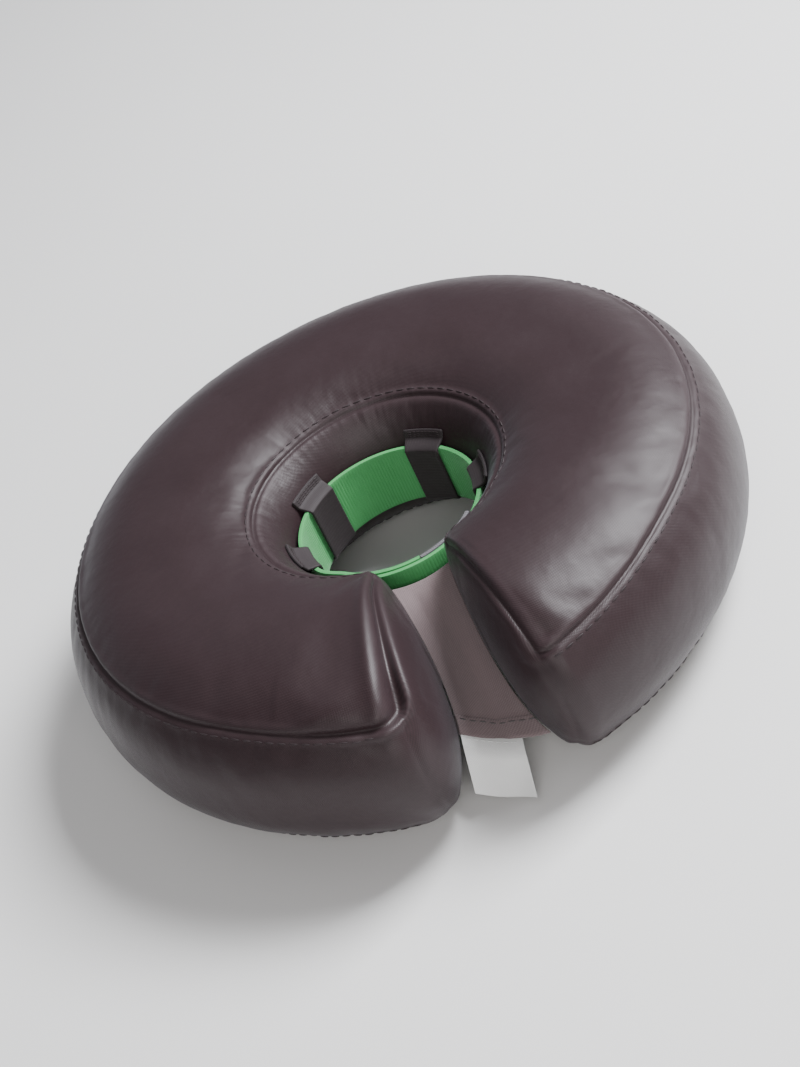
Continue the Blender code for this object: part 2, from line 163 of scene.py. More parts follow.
cap_rows = [1 - math.cos(math.pi / 2 * step / CAP_ROWS) for step in range(CAP_ROWS)]
left_reach = LEFT.round_share * TUBE_WIDTH
right_reach = RIGHT.round_share * TUBE_WIDTH
middle_length = RING_LENGTH - left_reach - right_reach
middle_rows = round(middle_length / ROW_SPACING)
row_lengths = [left_reach * share for share in cap_rows]
row_lengths += [left_reach + middle_length * row / middle_rows for row in range(middle_rows + 1)]
row_lengths += [RING_LENGTH - right_reach * share for share in reversed(cap_rows)]

column_places = []
for panel, count in enumerate(PANEL_COLUMNS):
    for column in range(count):
        share = column / count
        share -= SEAM_CROWDING * math.sin(2 * math.pi * share) / (2 * math.pi)
        column_places.append((panel, share))
column_places.append((len(PANEL_COLUMNS) - 1, 1.0))

cloth_points, cloth_arcs = [], []
for along in row_lengths:
    seams = seam_angles(along)
    angles = [seams[panel] + (seams[panel + 1] - seams[panel]) * s for panel, s in column_places]
    points = [jacket_point(along, angle) for angle in angles]
    arcs = [0.0]
    for point, following in zip(points, points[1:]):
        arcs.append(arcs[-1] + (following - point).length)
    cloth_points.append(points)
    cloth_arcs.append(arcs)

last_row, last_column = len(row_lengths) - 1, len(column_places) - 1
panel_starts = [sum(PANEL_COLUMNS[:panel]) for panel in range(len(PANEL_COLUMNS) + 1)]


def panel_of(column):
    return max(panel for panel in range(len(PANEL_COLUMNS)) if panel_starts[panel] <= column)


def end_seam_length(end):
    return end.seam_share * TUBE_WIDTH


def cloth_uv(row, column, panel, on_end):
    """Place of a point on the flat cut cloth, so that the weave runs straight in each panel."""
    arcs = cloth_arcs[row]
    start, stop = arcs[panel_starts[panel]], arcs[panel_starts[panel + 1]]
    offset = arcs[column] - (start + stop) / 2
    if on_end:
        point = cloth_points[row][column]
        return (-point.y, point.z)
    turn = ring_turn(row_lengths[row], RING_RADIUS)
    if panel in (0, 2):
        radius = RING_RADIUS - offset if panel == 0 else RING_RADIUS + offset
        return (radius * math.cos(turn), radius * math.sin(turn))
    radius = NECK_RADIUS if panel == 1 else COLLAR_DIAMETER / 2
    return (turn * radius, offset)


def inside_panel(row, column, panel):
    """Distance round the tube from a panel's nearer long seam, negative outside the panel."""
    arcs = cloth_arcs[row]
    start, stop = arcs[panel_starts[panel]], arcs[panel_starts[panel + 1]]
    half = (stop - start) / 2
    offset = abs(arcs[column] - start - half)
    return half - min(offset, arcs[-1] - offset)


bm = bmesh.new()
bmesh.ops.create_grid(bm, x_segments=last_row, y_segments=last_column, size=1.0)
top_layer = bm.verts.layers.float.new("inside_top")
bottom_layer = bm.verts.layers.float.new("inside_bottom")
end_layer = bm.verts.layers.float.new("end_distance")
along_layer = bm.verts.layers.float.new("along")
neck_layer = bm.verts.layers.float.new("neck_band")
uv_layer = bm.loops.layers.uv.new("cloth")
places = {}
for vertex in bm.verts:
    row = round((vertex.co.x + 1) / 2 * last_row)
    column = round((vertex.co.y + 1) / 2 * last_column)
    places[vertex] = (row, column)
for face in bm.faces:
    rows, columns = zip(*(places[vertex] for vertex in face.verts))
    panel = panel_of(min(columns))
    along = (row_lengths[min(rows)] + row_lengths[max(rows)]) / 2
    end = nearer_end(along)
    on_end = from_end(along, end) < end_seam_length(end)
    for loop in face.loops:
        loop[uv_layer].uv = cloth_uv(*places[loop.vert], panel, on_end)
for vertex, (row, column) in places.items():
    along = row_lengths[row]
    end = nearer_end(along)
    vertex[top_layer] = inside_panel(row, column, 0)
    vertex[bottom_layer] = inside_panel(row, column, 2)
    vertex[end_layer] = from_end(along, end) - end_seam_length(end)
    vertex[along_layer] = along
    vertex[neck_layer] = 1.0 if column_places[column][0] == 1 and column_places[column][1] > 0 else 0.0
    vertex.co = cloth_points[row][column]
bmesh.ops.remove_doubles(bm, verts=bm.verts, dist=0.000002)
bmesh.ops.recalc_face_normals(bm, faces=bm.faces)


collar_pieces = []


def add_piece(name, bm, *materials):
    """Makes a smooth object of a finished bmesh and adds it to the list of the collar's pieces."""
    mesh = bpy.data.meshes.new(name)
    bm.to_mesh(mesh)
    bm.free()
    mesh.shade_smooth()
    for material in materials:
        mesh.materials.append(material)
    piece = bpy.data.objects.new(name, mesh)
    bpy.context.scene.collection.objects.link(piece)
    collar_pieces.append(piece)
    return piece


def applied(piece):
    """Bakes a piece's modifiers into its mesh."""
    graph = bpy.context.evaluated_depsgraph_get()
    graph.update()
    mesh = bpy.data.meshes.new_from_object(piece.evaluated_get(graph), depsgraph=graph)
    piece.modifiers.clear()
    piece.data = mesh
    mesh.name = piece.name
    return piece


jacket = add_piece("jacket", bm)

# Air: pressure swells the cloth between its seams, which are sewn down
PANEL_CORNERS = {LEFT: 0.0050, RIGHT: 0.0018}  # rounding of the top and bottom panels' corners
SIMULATED_FRAMES = 20
SWELL_KEPT = 0.55
MOST_SWELL = 0.0013
MOST_SWELL_OF_ENDS = 0.0006
STRAP_BED = 0.014  # half height of the neck band that the strap keeps flat
FOOT_HEIGHT = 0.0004


def value_of(mesh, layer):
    return [item.value for item in mesh.attributes[layer].data]


def inside_seam(inside, end_distance, corner):
    """Distance inside a top or bottom panel from its seam, which turns the panel's corners round."""
    if inside < corner and end_distance < corner:
        return corner - math.hypot(corner - inside, corner - end_distance)
    return min(inside, end_distance)


def seam_distances(mesh):
    """For each point, how far it lies inside the seams of the top panel and of the bottom panel."""
    layers = ("inside_top", "inside_bottom", "end_distance", "along")
    found = []
    for top, bottom, ends, along in zip(*(value_of(mesh, layer) for layer in layers)):
        corner = PANEL_CORNERS[nearer_end(along)]
        found.append((inside_seam(top, ends, corner), inside_seam(bottom, ends, corner)))
    return found


def sewn_down(mesh):
    found = []
    neck = value_of(mesh, "neck_band")
    for vertex, (top, bottom) in zip(mesh.vertices, seam_distances(mesh)):
        on_seam = min(abs(top), abs(bottom)) < 0.0003
        on_bed = neck[vertex.index] > 0.5 and abs(vertex.co.z - TUBE_MIDDLE) < STRAP_BED
        if on_seam or on_bed or vertex.co.z < FOOT_HEIGHT:
            found.append(vertex.index)
    return found


def inflate(piece):
    """Runs the cloth under pressure and keeps the result, with the most that it may swell."""
    scene = bpy.context.scene
    mesh = piece.data
    group = piece.vertex_groups.new(name="sewn")
    group.add(sewn_down(mesh), 1.0, "REPLACE")
    before = [vertex.co.copy() for vertex in mesh.vertices]
    cloth = piece.modifiers.new("air", "CLOTH")
    cloth.settings.quality = 5
    cloth.settings.mass = 0.10
    cloth.settings.tension_stiffness = 30
    cloth.settings.compression_stiffness = 30
    cloth.settings.shear_stiffness = 10
    cloth.settings.bending_stiffness = 0.5
    cloth.settings.vertex_group_mass = "sewn"
    cloth.settings.use_pressure = True
    cloth.settings.uniform_pressure_force = 4.0
    cloth.settings.shrink_min = -0.008
    cloth.settings.effector_weights.gravity = 0.0
    cloth.point_cache.frame_start = 1
    cloth.point_cache.frame_end = SIMULATED_FRAMES
    for step in range(1, SIMULATED_FRAMES + 1):
        scene.frame_set(step)
    graph = bpy.context.evaluated_depsgraph_get()
    swollen = [vertex.co.copy() for vertex in piece.evaluated_get(graph).data.vertices]
    piece.modifiers.remove(cloth)
    piece.vertex_groups.remove(group)
    scene.frame_set(1)
    ends = value_of(mesh, "end_distance")
    for vertex, old, new in zip(mesh.vertices, before, swollen):
        most = MOST_SWELL if ends[vertex.index] > 0 else MOST_SWELL_OF_ENDS
        move = new - old
        if move.length > most:
            move *= most / move.length
        vertex.co = old + move * SWELL_KEPT
        vertex.co.z = max(vertex.co.z, 0.0)


inflate(jacket)

finer = jacket.modifiers.new("finer", "SUBSURF")
finer.levels = 1
finer.render_levels = 1
applied(jacket)

# Sewing: each seam pulls a groove between two soft welts, and the cloth beside it puckers
SEAM_GROOVE = 0.00060
SEAM_GROOVE_WIDTH = 0.00055
SEAM_WELT = 0.00022
SEAM_WELT_AT = 0.0018
SEAM_WELT_WIDTH = 0.0011
BAND_SEAM_SHARE = 0.45  # of the groove, where an end panel meets a band
PUCKER = 0.00014
PUCKER_REACH = 0.006
STITCH_PITCH = 0.0034
VALVE_WELL = 0.0007
VALVE_WELL_RADIUS = 0.0085

# At the left end the top panel's corner is tucked: a deep groove with a proud welt outside it, which
# turns from the end seam into the outer seam
TUCK_REACH_ALONG = 0.024
TUCK_REACH_ROUND = 0.030
TUCK_GROOVE = 0.0006
TUCK_GROOVE_WIDTH = 0.0007
TUCK_WELT = 0.0008
TUCK_SWELL = 0.0016
TUCK_SWELL_AT = 0.0130  # from the end seam, and half as far from the outer seam
TUCK_SWELL_WIDTH = 0.0080


def seam_relief(inside, tuck):
    """Lift of the cloth at a distance inside a seam, from the sewing and from the corner's tuck."""
    lift = -(SEAM_GROOVE + tuck * TUCK_GROOVE) * bell(inside, SEAM_GROOVE_WIDTH + tuck * TUCK_GROOVE_WIDTH)
    lift += SEAM_WELT * bell(abs(inside) - SEAM_WELT_AT, SEAM_WELT_WIDTH)
    if inside < 0:
        lift += tuck * TUCK_WELT * bell(-inside - SEAM_WELT_AT, SEAM_WELT_WIDTH)
    return lift


mesh = jacket.data
top_inside, ends, along_at = (value_of(mesh, layer) for layer in ("inside_top", "end_distance", "along"))
seams = seam_distances(mesh)
moved = []
for vertex in mesh.vertices:
    at = vertex.index
    top, bottom = seams[at]
    nearest = min(abs(top), abs(bottom))
    at_left = nearer_end(along_at[at]) is LEFT
    outward = math.hypot(vertex.co.x, vertex.co.y) > RING_RADIUS
    tuck = 0.0
    if at_left and outward:
        tuck = 1 - smooth_step(ends[at] / TUCK_REACH_ALONG)
        tuck *= 1 - smooth_step(top_inside[at] / TUCK_REACH_ROUND)
        swell = bell(ends[at] - TUCK_SWELL_AT, TUCK_SWELL_WIDTH)
        swell *= bell(top_inside[at] - TUCK_SWELL_AT / 2, TUCK_SWELL_WIDTH)
    lift = seam_relief(top, tuck) + seam_relief(bottom, 0.0)
    if tuck:
        lift += TUCK_SWELL * swell * smooth_step(top / 0.004)
    if max(top, bottom) < 0:
        lift -= SEAM_GROOVE * BAND_SEAM_SHARE * bell(ends[at], SEAM_GROOVE_WIDTH)
    crease = noise.noise(Vector((along_at[at] * 310, nearest * 60, 3.1)))
    crease += 0.6 * noise.noise(Vector((along_at[at] * 640, nearest * 110, 7.7)))
    near_seam = math.exp(-nearest / PUCKER_REACH) * smooth_step(nearest / 0.002)
    lift += PUCKER * crease * near_seam * smooth_step(ends[at] / 0.0015)
    from_valve = math.hypot(vertex.co.x, vertex.co.z - TUBE_MIDDLE)
    if vertex.co.y > RING_RADIUS:
        lift -= VALVE_WELL * smooth_step(1.6 * (1 - from_valve / VALVE_WELL_RADIUS))
    moved.append(vertex.co + vertex.normal * lift)
for vertex, place in zip(mesh.vertices, moved):
    vertex.co = place
    vertex.co.z = max(vertex.co.z, 0.0)


def new_group(name, inputs, outputs):
    """A shader node group with named sockets, given as (name, kind, value) and (name, kind)."""
    group = bpy.data.node_groups.new(name, "ShaderNodeTree")
    for socket, kind, value in inputs:
        made = group.interface.new_socket(socket, in_out="INPUT", socket_type="NodeSocket" + kind)
        if value is not None:
            made.default_value = value
    for socket, kind in outputs:
        group.interface.new_socket(socket, in_out="OUTPUT", socket_type="NodeSocket" + kind)
    return group, group.nodes.new("NodeGroupInput"), group.nodes.new("NodeGroupOutput")


def join(tree, source, target):
    tree.links.new(source, target)


def maths(tree, operation, first, second=0.0, third=None):
    """A maths node of which each operand is a number or another node's socket."""
    node = tree.nodes.new("ShaderNodeMath")
    node.operation = operation
    for socket, value in zip(node.inputs, (first, second, third)):
        if value is None:
            continue
        if isinstance(value, (int, float)):
            socket.default_value = value
        else:
            join(tree, value, socket)
    return node.outputs[0]


def mottle(tree, vector, scale, detail=2.0, roughness=0.5):
    node = tree.nodes.new("ShaderNodeTexNoise")
    join(tree, vector, node.inputs["Vector"])
    node.inputs["Scale"].default_value = scale
    node.inputs["Detail"].default_value = detail
    node.inputs["Roughness"].default_value = roughness
    return node.outputs["Fac"]


def blend_colours(tree, share, first, second):
    node = tree.nodes.new("ShaderNodeMix")
    node.data_type = "RGBA"
    for socket, value in ((node.inputs[0], share), (node.inputs[6], first), (node.inputs[7], second)):
        if isinstance(value, (int, float)):
            socket.default_value = value
        elif isinstance(value, tuple):
            socket.default_value = (*value, 1.0)
        else:
            join(tree, value, socket)
    return node.outputs[2]


# Threads crossing over and under each other, as a height, and as a tone that is painted shade in the weave's low
# points with some uneven thread tone at random
woven, entry, result = new_group(
    "woven threads",
    (("Vector", "Vector", None), ("Thread", "Float", 0.0004), ("Unevenness", "Float", 0.4)),
    (("Height", "Float"), ("Tone", "Float")),
)
scaled = woven.nodes.new("ShaderNodeVectorMath")
scaled.operation = "SCALE"
join(woven, entry.outputs["Vector"], scaled.inputs[0])
join(woven, maths(woven, "DIVIDE", math.pi, entry.outputs["Thread"]), scaled.inputs["Scale"])
split = woven.nodes.new("ShaderNodeSeparateXYZ")
join(woven, scaled.outputs[0], split.inputs[0])
crossing = maths(
    woven, "MULTIPLY", maths(woven, "SINE", split.outputs[0]), maths(woven, "SINE", split.outputs[1])
)
thread_noise = mottle(woven, scaled.outputs[0], 0.35, 1.0)
uneven = maths(woven, "MULTIPLY", maths(woven, "SUBTRACT", thread_noise, 0.5), entry.outputs["Unevenness"])
height = maths(woven, "ADD", maths(woven, "MULTIPLY_ADD", crossing, 0.5, 0.5), uneven)
join(woven, height, result.inputs["Height"])
# The low points of the weave are painted darker: painted shade, plus the threads' random unevenness
join(woven, maths(woven, "MULTIPLY_ADD", height, 0.5, 0.5), result.inputs["Tone"])

# Soft creases and faint dents that handling leaves in cloth or tape
creased, entry, result = new_group(
    "soft creases",
    (("Vector", "Vector", None), ("Size", "Float", 0.006)),
    (("Height", "Float"),),
)
wide = creased.nodes.new("ShaderNodeVectorMath")
wide.operation = "SCALE"
join(creased, entry.outputs["Vector"], wide.inputs[0])
join(creased, maths(creased, "DIVIDE", 1.0, entry.outputs["Size"]), wide.inputs["Scale"])
broad = mottle(creased, wide.outputs[0], 1.0, 3.0, 0.55)
fine = mottle(creased, wide.outputs[0], 3.7, 2.0)
join(creased, maths(creased, "MULTIPLY_ADD", fine, 0.3, broad), result.inputs["Height"])

# Wear and lint: the ridges and some patches are rubbed paler, and a little dust lies on the cloth
worn, entry, result = new_group(
    "wear and lint",
    (
        ("Vector", "Vector", None),
        ("Colour", "Color", (0.5, 0.5, 0.5, 1.0)),
        ("Worn Colour", "Color", (0.6, 0.6, 0.6, 1.0)),
        ("Ridge", "Float", 0.0),
        ("Wear", "Float", 0.3),
        ("Tone", "Float", 1.0),
        ("Roughness", "Float", 0.6),
    ),
    (("Colour", "Color"), ("Roughness", "Float")),
)
patches = mottle(worn, entry.outputs["Vector"], 38.0, 4.0, 0.6)
specks = mottle(worn, entry.outputs["Vector"], 900.0, 1.0)
lint = maths(worn, "MULTIPLY", maths(worn, "GREATER_THAN", specks, 0.735), 0.35)
rubbed = maths(worn, "MULTIPLY", patches, entry.outputs["Wear"])
ridges = maths(worn, "MULTIPLY", entry.outputs["Ridge"], entry.outputs["Wear"])
share = maths(worn, "ADD", maths(worn, "ADD", rubbed, ridges), maths(worn, "MULTIPLY", lint, entry.outputs["Wear"]))
share = maths(worn, "MINIMUM", share, 1.0)
colour = blend_colours(worn, share, entry.outputs["Colour"], entry.outputs["Worn Colour"])
# The colour is scaled by the weave's painted shade and random thread tone
weave_shaded = worn.nodes.new("ShaderNodeVectorMath")
weave_shaded.operation = "SCALE"
join(worn, colour, weave_shaded.inputs[0])
join(worn, entry.outputs["Tone"], weave_shaded.inputs["Scale"])
join(worn, weave_shaded.outputs[0], result.inputs["Colour"])
rough = maths(worn, "ADD", maths(worn, "MULTIPLY_ADD", patches, 0.16, entry.outputs["Roughness"]), -0.08)
join(worn, maths(worn, "MULTIPLY_ADD", ridges, 0.2, rough), result.inputs["Roughness"])


def place_group(tree, group, **values):
    """Puts a shared group in a material. Each value is a number, a colour or a socket."""
    node = tree.nodes.new("ShaderNodeGroup")
    node.node_tree = group
    for name, value in values.items():
        socket = node.inputs[name.replace("_", " ")]
        if isinstance(value, (int, float)):
            socket.default_value = value
        elif isinstance(value, tuple):
            socket.default_value = (*value, 1.0)
        else:
            join(tree, value, socket)
    return node


def cloth_finish(
    name,
    colour,
    worn_colour,
    roughness,
    thread,
    thread_height,
    crease_size=0.006,
    crease_height=0.0002,
    wear=0.3,
    uv=None,
    ridge=None,
    sheen=0.0,
    sheen_roughness=0.4,
    sheen_tint=(1.0, 1.0, 1.0),
    specular=0.5,
):
    """A woven material. Its threads follow a UV map where there is one, or else the object."""
    material = bpy.data.materials.new(name)
    material.use_nodes = True
    tree = material.node_tree
    shader = tree.nodes["Principled BSDF"]
    coordinates = tree.nodes.new("ShaderNodeTexCoord").outputs["Object"]
    threads_at = coordinates
    if uv:
        map_node = tree.nodes.new("ShaderNodeUVMap")
        map_node.uv_map = uv
        threads_at = map_node.outputs[0]
    threads = place_group(tree, woven, Vector=threads_at, Thread=thread)
    creases = place_group(tree, creased, Vector=coordinates, Size=crease_size)
    ridge_at = 0.0
    if ridge:
        attribute = tree.nodes.new("ShaderNodeAttribute")
        attribute.attribute_name = ridge
        ridge_at = attribute.outputs["Fac"]
    # The weave's painted shade, with random thread tone, darkens the colour where the threads dip
    finish = place_group(
        tree,
        worn,
        Vector=coordinates,
        Colour=colour,
        Worn_Colour=worn_colour,
        Ridge=ridge_at,
        Wear=wear,
        Tone=threads.outputs["Tone"],
        Roughness=roughness,
    )
    join(tree, finish.outputs["Colour"], shader.inputs["Base Color"])
    join(tree, finish.outputs["Roughness"], shader.inputs["Roughness"])
    height = maths(tree, "MULTIPLY", threads.outputs["Height"], thread_height)
    height = maths(tree, "MULTIPLY_ADD", creases.outputs["Height"], crease_height, height)
    bump = tree.nodes.new("ShaderNodeBump")
    bump.inputs["Strength"].default_value = 1.0
    bump.inputs["Distance"].default_value = 1.0
    join(tree, height, bump.inputs["Height"])
    join(tree, bump.outputs[0], shader.inputs["Normal"])
    shader.inputs["Sheen Weight"].default_value = sheen
    shader.inputs["Sheen Roughness"].default_value = sheen_roughness
    shader.inputs["Sheen Tint"].default_value = (*sheen_tint, 1.0)
    shader.inputs["Specular IOR Level"].default_value = specular
    return material


CHARCOAL = (0.0225, 0.0098, 0.0118)
RUBBED_CHARCOAL = (0.044, 0.025, 0.029)

ridge = mesh.attributes.new("ridge", "FLOAT", "POINT")
for item, distances in zip(ridge.data, seams):
    item.value = max(bell(abs(inside) - SEAM_WELT_AT, SEAM_WELT_WIDTH) for inside in distances)
cover_satin = cloth_finish(
    "cover satin",
    CHARCOAL,
    RUBBED_CHARCOAL,
    roughness=0.45,
    thread=0.00028,
    thread_height=0.00003,
    crease_size=0.014,
    crease_height=0.00028,
    wear=0.35,
    uv="cloth",
    ridge="ridge",
    sheen=0.06,
    sheen_roughness=0.45,
    sheen_tint=(0.80, 0.84, 0.92),
    specular=0.34,
)
mesh.materials.append(cover_satin)
jacket_pieces = ("top_panel", "neck_band", "bottom_panel", "outer_band", "left_end_panel", "right_end_panel")
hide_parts(*jacket_pieces)
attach(jacket, "root")


# The topstitching: black polyester thread in a row beside each seam, which holds the seam allowance
# flat. A lockstitch machine sews it, so each stitch dips into the cloth at its two ends.
THREAD_WIDTH = 0.00050
STITCH_LENGTH = 0.0026
STITCH_SIDES = 8
STITCH_RINGS = 5
TOPSTITCH_OFFSET = 0.0021

skin = bmesh.new()
skin.from_mesh(mesh)
jacket_skin = BVHTree.FromBMesh(skin)
skin.free()


bm = bmesh.new()
bmesh.ops.create_uvsphere(bm, u_segments=STITCH_SIDES, v_segments=STITCH_RINGS, radius=1.0)
bmesh.ops.rotate(bm, cent=(0, 0, 0), matrix=Matrix.Rotation(math.pi / 2, 3, "Y"), verts=bm.verts)
plain_stitch = bpy.data.meshes.new("plain_stitch")
bm.to_mesh(plain_stitch)
bm.free()


def sew(bm, line, pitch=STITCH_PITCH, length=STITCH_LENGTH, width=THREAD_WIDTH, facing=None):
    """Adds a row of stitches along a line of points that lie on the cloth, with its normals."""
    travelled = 0.0
    next_stitch = pitch / 2
    for (point, normal), (following, _) in zip(line, line[1:]):
        step = following - point
        if step.length == 0:
            continue
        while travelled + step.length >= next_stitch:
            centre = point + step * ((next_stitch - travelled) / step.length)
            ahead = step.normalized()
            side = normal.cross(ahead).normalized()
            up = ahead.cross(side).normalized()
            turned = Matrix((ahead, side, up)).transposed().to_4x4()
            shape = Matrix.Diagonal((length / 2, width / 2, width * 0.45, 1.0))
            place = Matrix.Translation(centre + up * width * 0.10) @ turned @ shape
            stitch = plain_stitch.copy()
            stitch.transform(place)
            bm.from_mesh(stitch)
            bpy.data.meshes.remove(stitch)
            next_stitch += pitch
        travelled += step.length


def on_jacket(point):
    place, normal, _, _ = jacket_skin.find_nearest(point)
    return place, normal


def arc_offset(along, angle, distance):
    """Angle that lies a distance round the tube from another angle."""
    here, there = jacket_point(along, angle), jacket_point(along, angle + 0.01)
    return angle + 0.01 * distance / (there - here).length


bm = bmesh.new()
for seam_number, side in ((0, -1), (1, -1), (2, 1), (3, 1)):
    line = []
    start = end_seam_length(LEFT) + PANEL_CORNERS[LEFT]
    stop = RING_LENGTH - end_seam_length(RIGHT) - PANEL_CORNERS[RIGHT]
    for step in range(601):
        along = start + (stop - start) * step / 600
        angle = arc_offset(along, seam_angles(along)[seam_number], side * TOPSTITCH_OFFSET)
        line.append(on_jacket(jacket_point(along, angle)))
    sew(bm, line)
BLACK_THREAD = (0.026, 0.016, 0.018)
cover_thread = cloth_finish(
    "cover thread",
    BLACK_THREAD,
    (0.050, 0.036, 0.040),
    roughness=0.55,
    thread=0.00012,
    thread_height=0.00002,
    crease_height=0.0,
    wear=0.3,
    specular=0.3,
)
topstitching = add_piece("jacket_topstitching", bm, cover_thread)
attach(topstitching, "root")


# The bladder: two sheets of clear grey vinyl welded into a C and blown up inside the jacket. Only its
# material is changed, for the jacket hides it.
film = bpy.data.materials.new("bladder vinyl")
film.use_nodes = True
tree = film.node_tree
shader = tree.nodes["Principled BSDF"]
coordinates = tree.nodes.new("ShaderNodeTexCoord").outputs["Object"]
dents = place_group(tree, creased, Vector=coordinates, Size=0.010)
clouded = blend_colours(tree, dents.outputs["Height"], (0.58, 0.62, 0.62), (0.74, 0.78, 0.78))
join(tree, clouded, shader.inputs["Base Color"])
join(tree, maths(tree, "MULTIPLY_ADD", dents.outputs["Height"], 0.15, 0.18), shader.inputs["Roughness"])
bump = tree.nodes.new("ShaderNodeBump")
bump.inputs["Distance"].default_value = 0.0004
join(tree, dents.outputs["Height"], bump.inputs["Height"])
join(tree, bump.outputs[0], shader.inputs["Normal"])
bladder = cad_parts["bladder"]
bladder.data.materials.clear()
bladder.data.materials.append(film)


# The valve: a soft vinyl rim moulded on a flange, welded to the bladder and let out through a bound
# hole in the outer band. Its stopper has a pull tab on a short tether.
VALVE_RADIUS = 0.0055
VALVE_SEAT = COLLAR_DIAMETER / 2 - VALVE_WELL
VALVE_RIM_RADIUS = 0.0040
VALVE_RIM_HEIGHT = 0.0016
STOPPER_RADIUS = 0.0033
SPIN_STEPS = 48


def turned_piece(profile, cent):
    """A closed piece turned about an axis along Y, from its profile of radii and heights."""
    bm = bmesh.new()
    points = [bm.verts.new((radius, y, cent.z)) for radius, y in profile]
    edges = [bm.edges.new(pair) for pair in zip(points, points[1:])]
    bmesh.ops.spin(
        bm,
        geom=points + edges,
        cent=cent,
        axis=(0, 1, 0),
        angle=2 * math.pi,
        steps=SPIN_STEPS,
        use_merge=True,
    )
    bmesh.ops.remove_doubles(bm, verts=bm.verts, dist=0.000001)
    bmesh.ops.recalc_face_normals(bm, faces=bm.faces)
    return bm


def moulded_finish(name, colour, roughness):
    material = bpy.data.materials.new(name)
    material.use_nodes = True
    tree = material.node_tree
    shader = tree.nodes["Principled BSDF"]
    coordinates = tree.nodes.new("ShaderNodeTexCoord").outputs["Object"]
    grain = mottle(tree, coordinates, 2600.0, 2.0)
    clouds = mottle(tree, coordinates, 160.0, 3.0)
    darker = tuple(0.82 * part for part in colour)
    join(tree, blend_colours(tree, clouds, darker, colour), shader.inputs["Base Color"])
    join(tree, maths(tree, "MULTIPLY_ADD", clouds, 0.18, roughness), shader.inputs["Roughness"])
    bump = tree.nodes.new("ShaderNodeBump")
    bump.inputs["Distance"].default_value = 0.00004
    join(tree, grain, bump.inputs["Height"])
    join(tree, bump.outputs[0], shader.inputs["Normal"])
    return material


valve_vinyl = moulded_finish("valve vinyl", (0.36, 0.39, 0.40), 0.34)
centre = Vector((0.0, 0.0, TUBE_MIDDLE))
seat = VALVE_SEAT
rim_top = seat + VALVE_RIM_HEIGHT
bm = turned_piece(
    (
        (0.0, seat - 0.0030),
        (0.0030, seat - 0.0030),
        (0.0032, seat - 0.0008),
        (VALVE_RADIUS - 0.0003, seat - 0.0007),
        (VALVE_RADIUS, seat - 0.0003),
        (VALVE_RADIUS - 0.0001, seat + 0.0002),
        (VALVE_RADIUS - 0.0006, seat + 0.0005),
        (VALVE_RIM_RADIUS + 0.0002, seat + 0.0006),
        (VALVE_RIM_RADIUS, seat + 0.0008),
        (VALVE_RIM_RADIUS - 0.0001, rim_top - 0.0003),
        (VALVE_RIM_RADIUS - 0.0004, rim_top),
        (0.0030, rim_top),
        (0.0027, rim_top - 0.0003),
        (0.0026, seat + 0.0003),
        (0.0, seat + 0.0003),
    ),
    centre,
)
valve_rim = add_piece("valve_rim", bm, valve_vinyl)
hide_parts("valve")
bm = turned_piece(
    (
        (0.0, seat + 0.0005),
        (0.0023, seat + 0.0006),
        (0.0024, rim_top + 0.0001),
        (STOPPER_RADIUS, rim_top + 0.0002),
        (STOPPER_RADIUS + 0.0002, rim_top + 0.0005),
        (STOPPER_RADIUS, rim_top + 0.0009),
        (STOPPER_RADIUS - 0.0006, rim_top + 0.0012),
        (0.0012, rim_top + 0.0010),
        (0.0, rim_top + 0.0010),
    ),
    centre,
)
TAB_WIDTH = 0.0032
TAB_LENGTH = 0.0050
TAB_WALL = 0.0009
tab = bmesh.ops.create_cube(bm, size=1.0)["verts"]
bmesh.ops.scale(bm, vec=(TAB_WIDTH, TAB_WALL, TAB_LENGTH), verts=tab)
tab_edges = {edge for vertex in tab for edge in vertex.link_edges}
bevelled = bmesh.ops.bevel(
    bm,
    geom=list(tab_edges),
    offset=0.00040,
    offset_type="OFFSET",
    affect="EDGES",
    segments=3,
    profile=0.5,
    material=-1,
)
tab_verts = {vertex for face in bevelled["faces"] for vertex in face.verts}
tab_place = (0.0, rim_top + 0.0007, TUBE_MIDDLE - STOPPER_RADIUS - TAB_LENGTH / 2 + 0.0006)
bmesh.ops.translate(bm, vec=tab_place, verts=list(tab_verts))
valve_stopper = add_piece("valve_stopper", bm, valve_vinyl)
for piece in (valve_rim, valve_stopper):
    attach(piece, "root")

# The bound edge of the valve's hole: a ring of tape sewn down with a row of stitches
BINDING_RADIUS = 0.0068
BINDING_WALL = 0.0006
bm = turned_piece(
    (
        (VALVE_RADIUS + 0.0002, seat - 0.0008),
        (VALVE_RADIUS + 0.0003, seat + 0.0002),
        (VALVE_RADIUS + 0.0006, seat + BINDING_WALL),
        (BINDING_RADIUS, seat + BINDING_WALL),
        (BINDING_RADIUS + 0.0008, seat + 0.0004),
        (BINDING_RADIUS + 0.0010, seat - 0.0008),
        (VALVE_RADIUS + 0.0002, seat - 0.0008),
    ),
    centre,
)
line = []
for step in range(97):
    turn = 2 * math.pi * step / 96
    point = Vector((math.cos(turn), 0.0, math.sin(turn))) * (BINDING_RADIUS + 0.0001) + centre
    line.append((point + Vector((0, seat + BINDING_WALL, 0)), Vector((0, 1, 0))))
valve_binding = add_piece("valve_binding", bm, cover_satin)
bm = bmesh.new()
sew(bm, line, pitch=0.0022, length=0.0017, width=0.0004)
valve_stitches = add_piece("valve_stitches", bm, cover_thread)
for piece in (valve_binding, valve_stitches):
    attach(piece, "root")


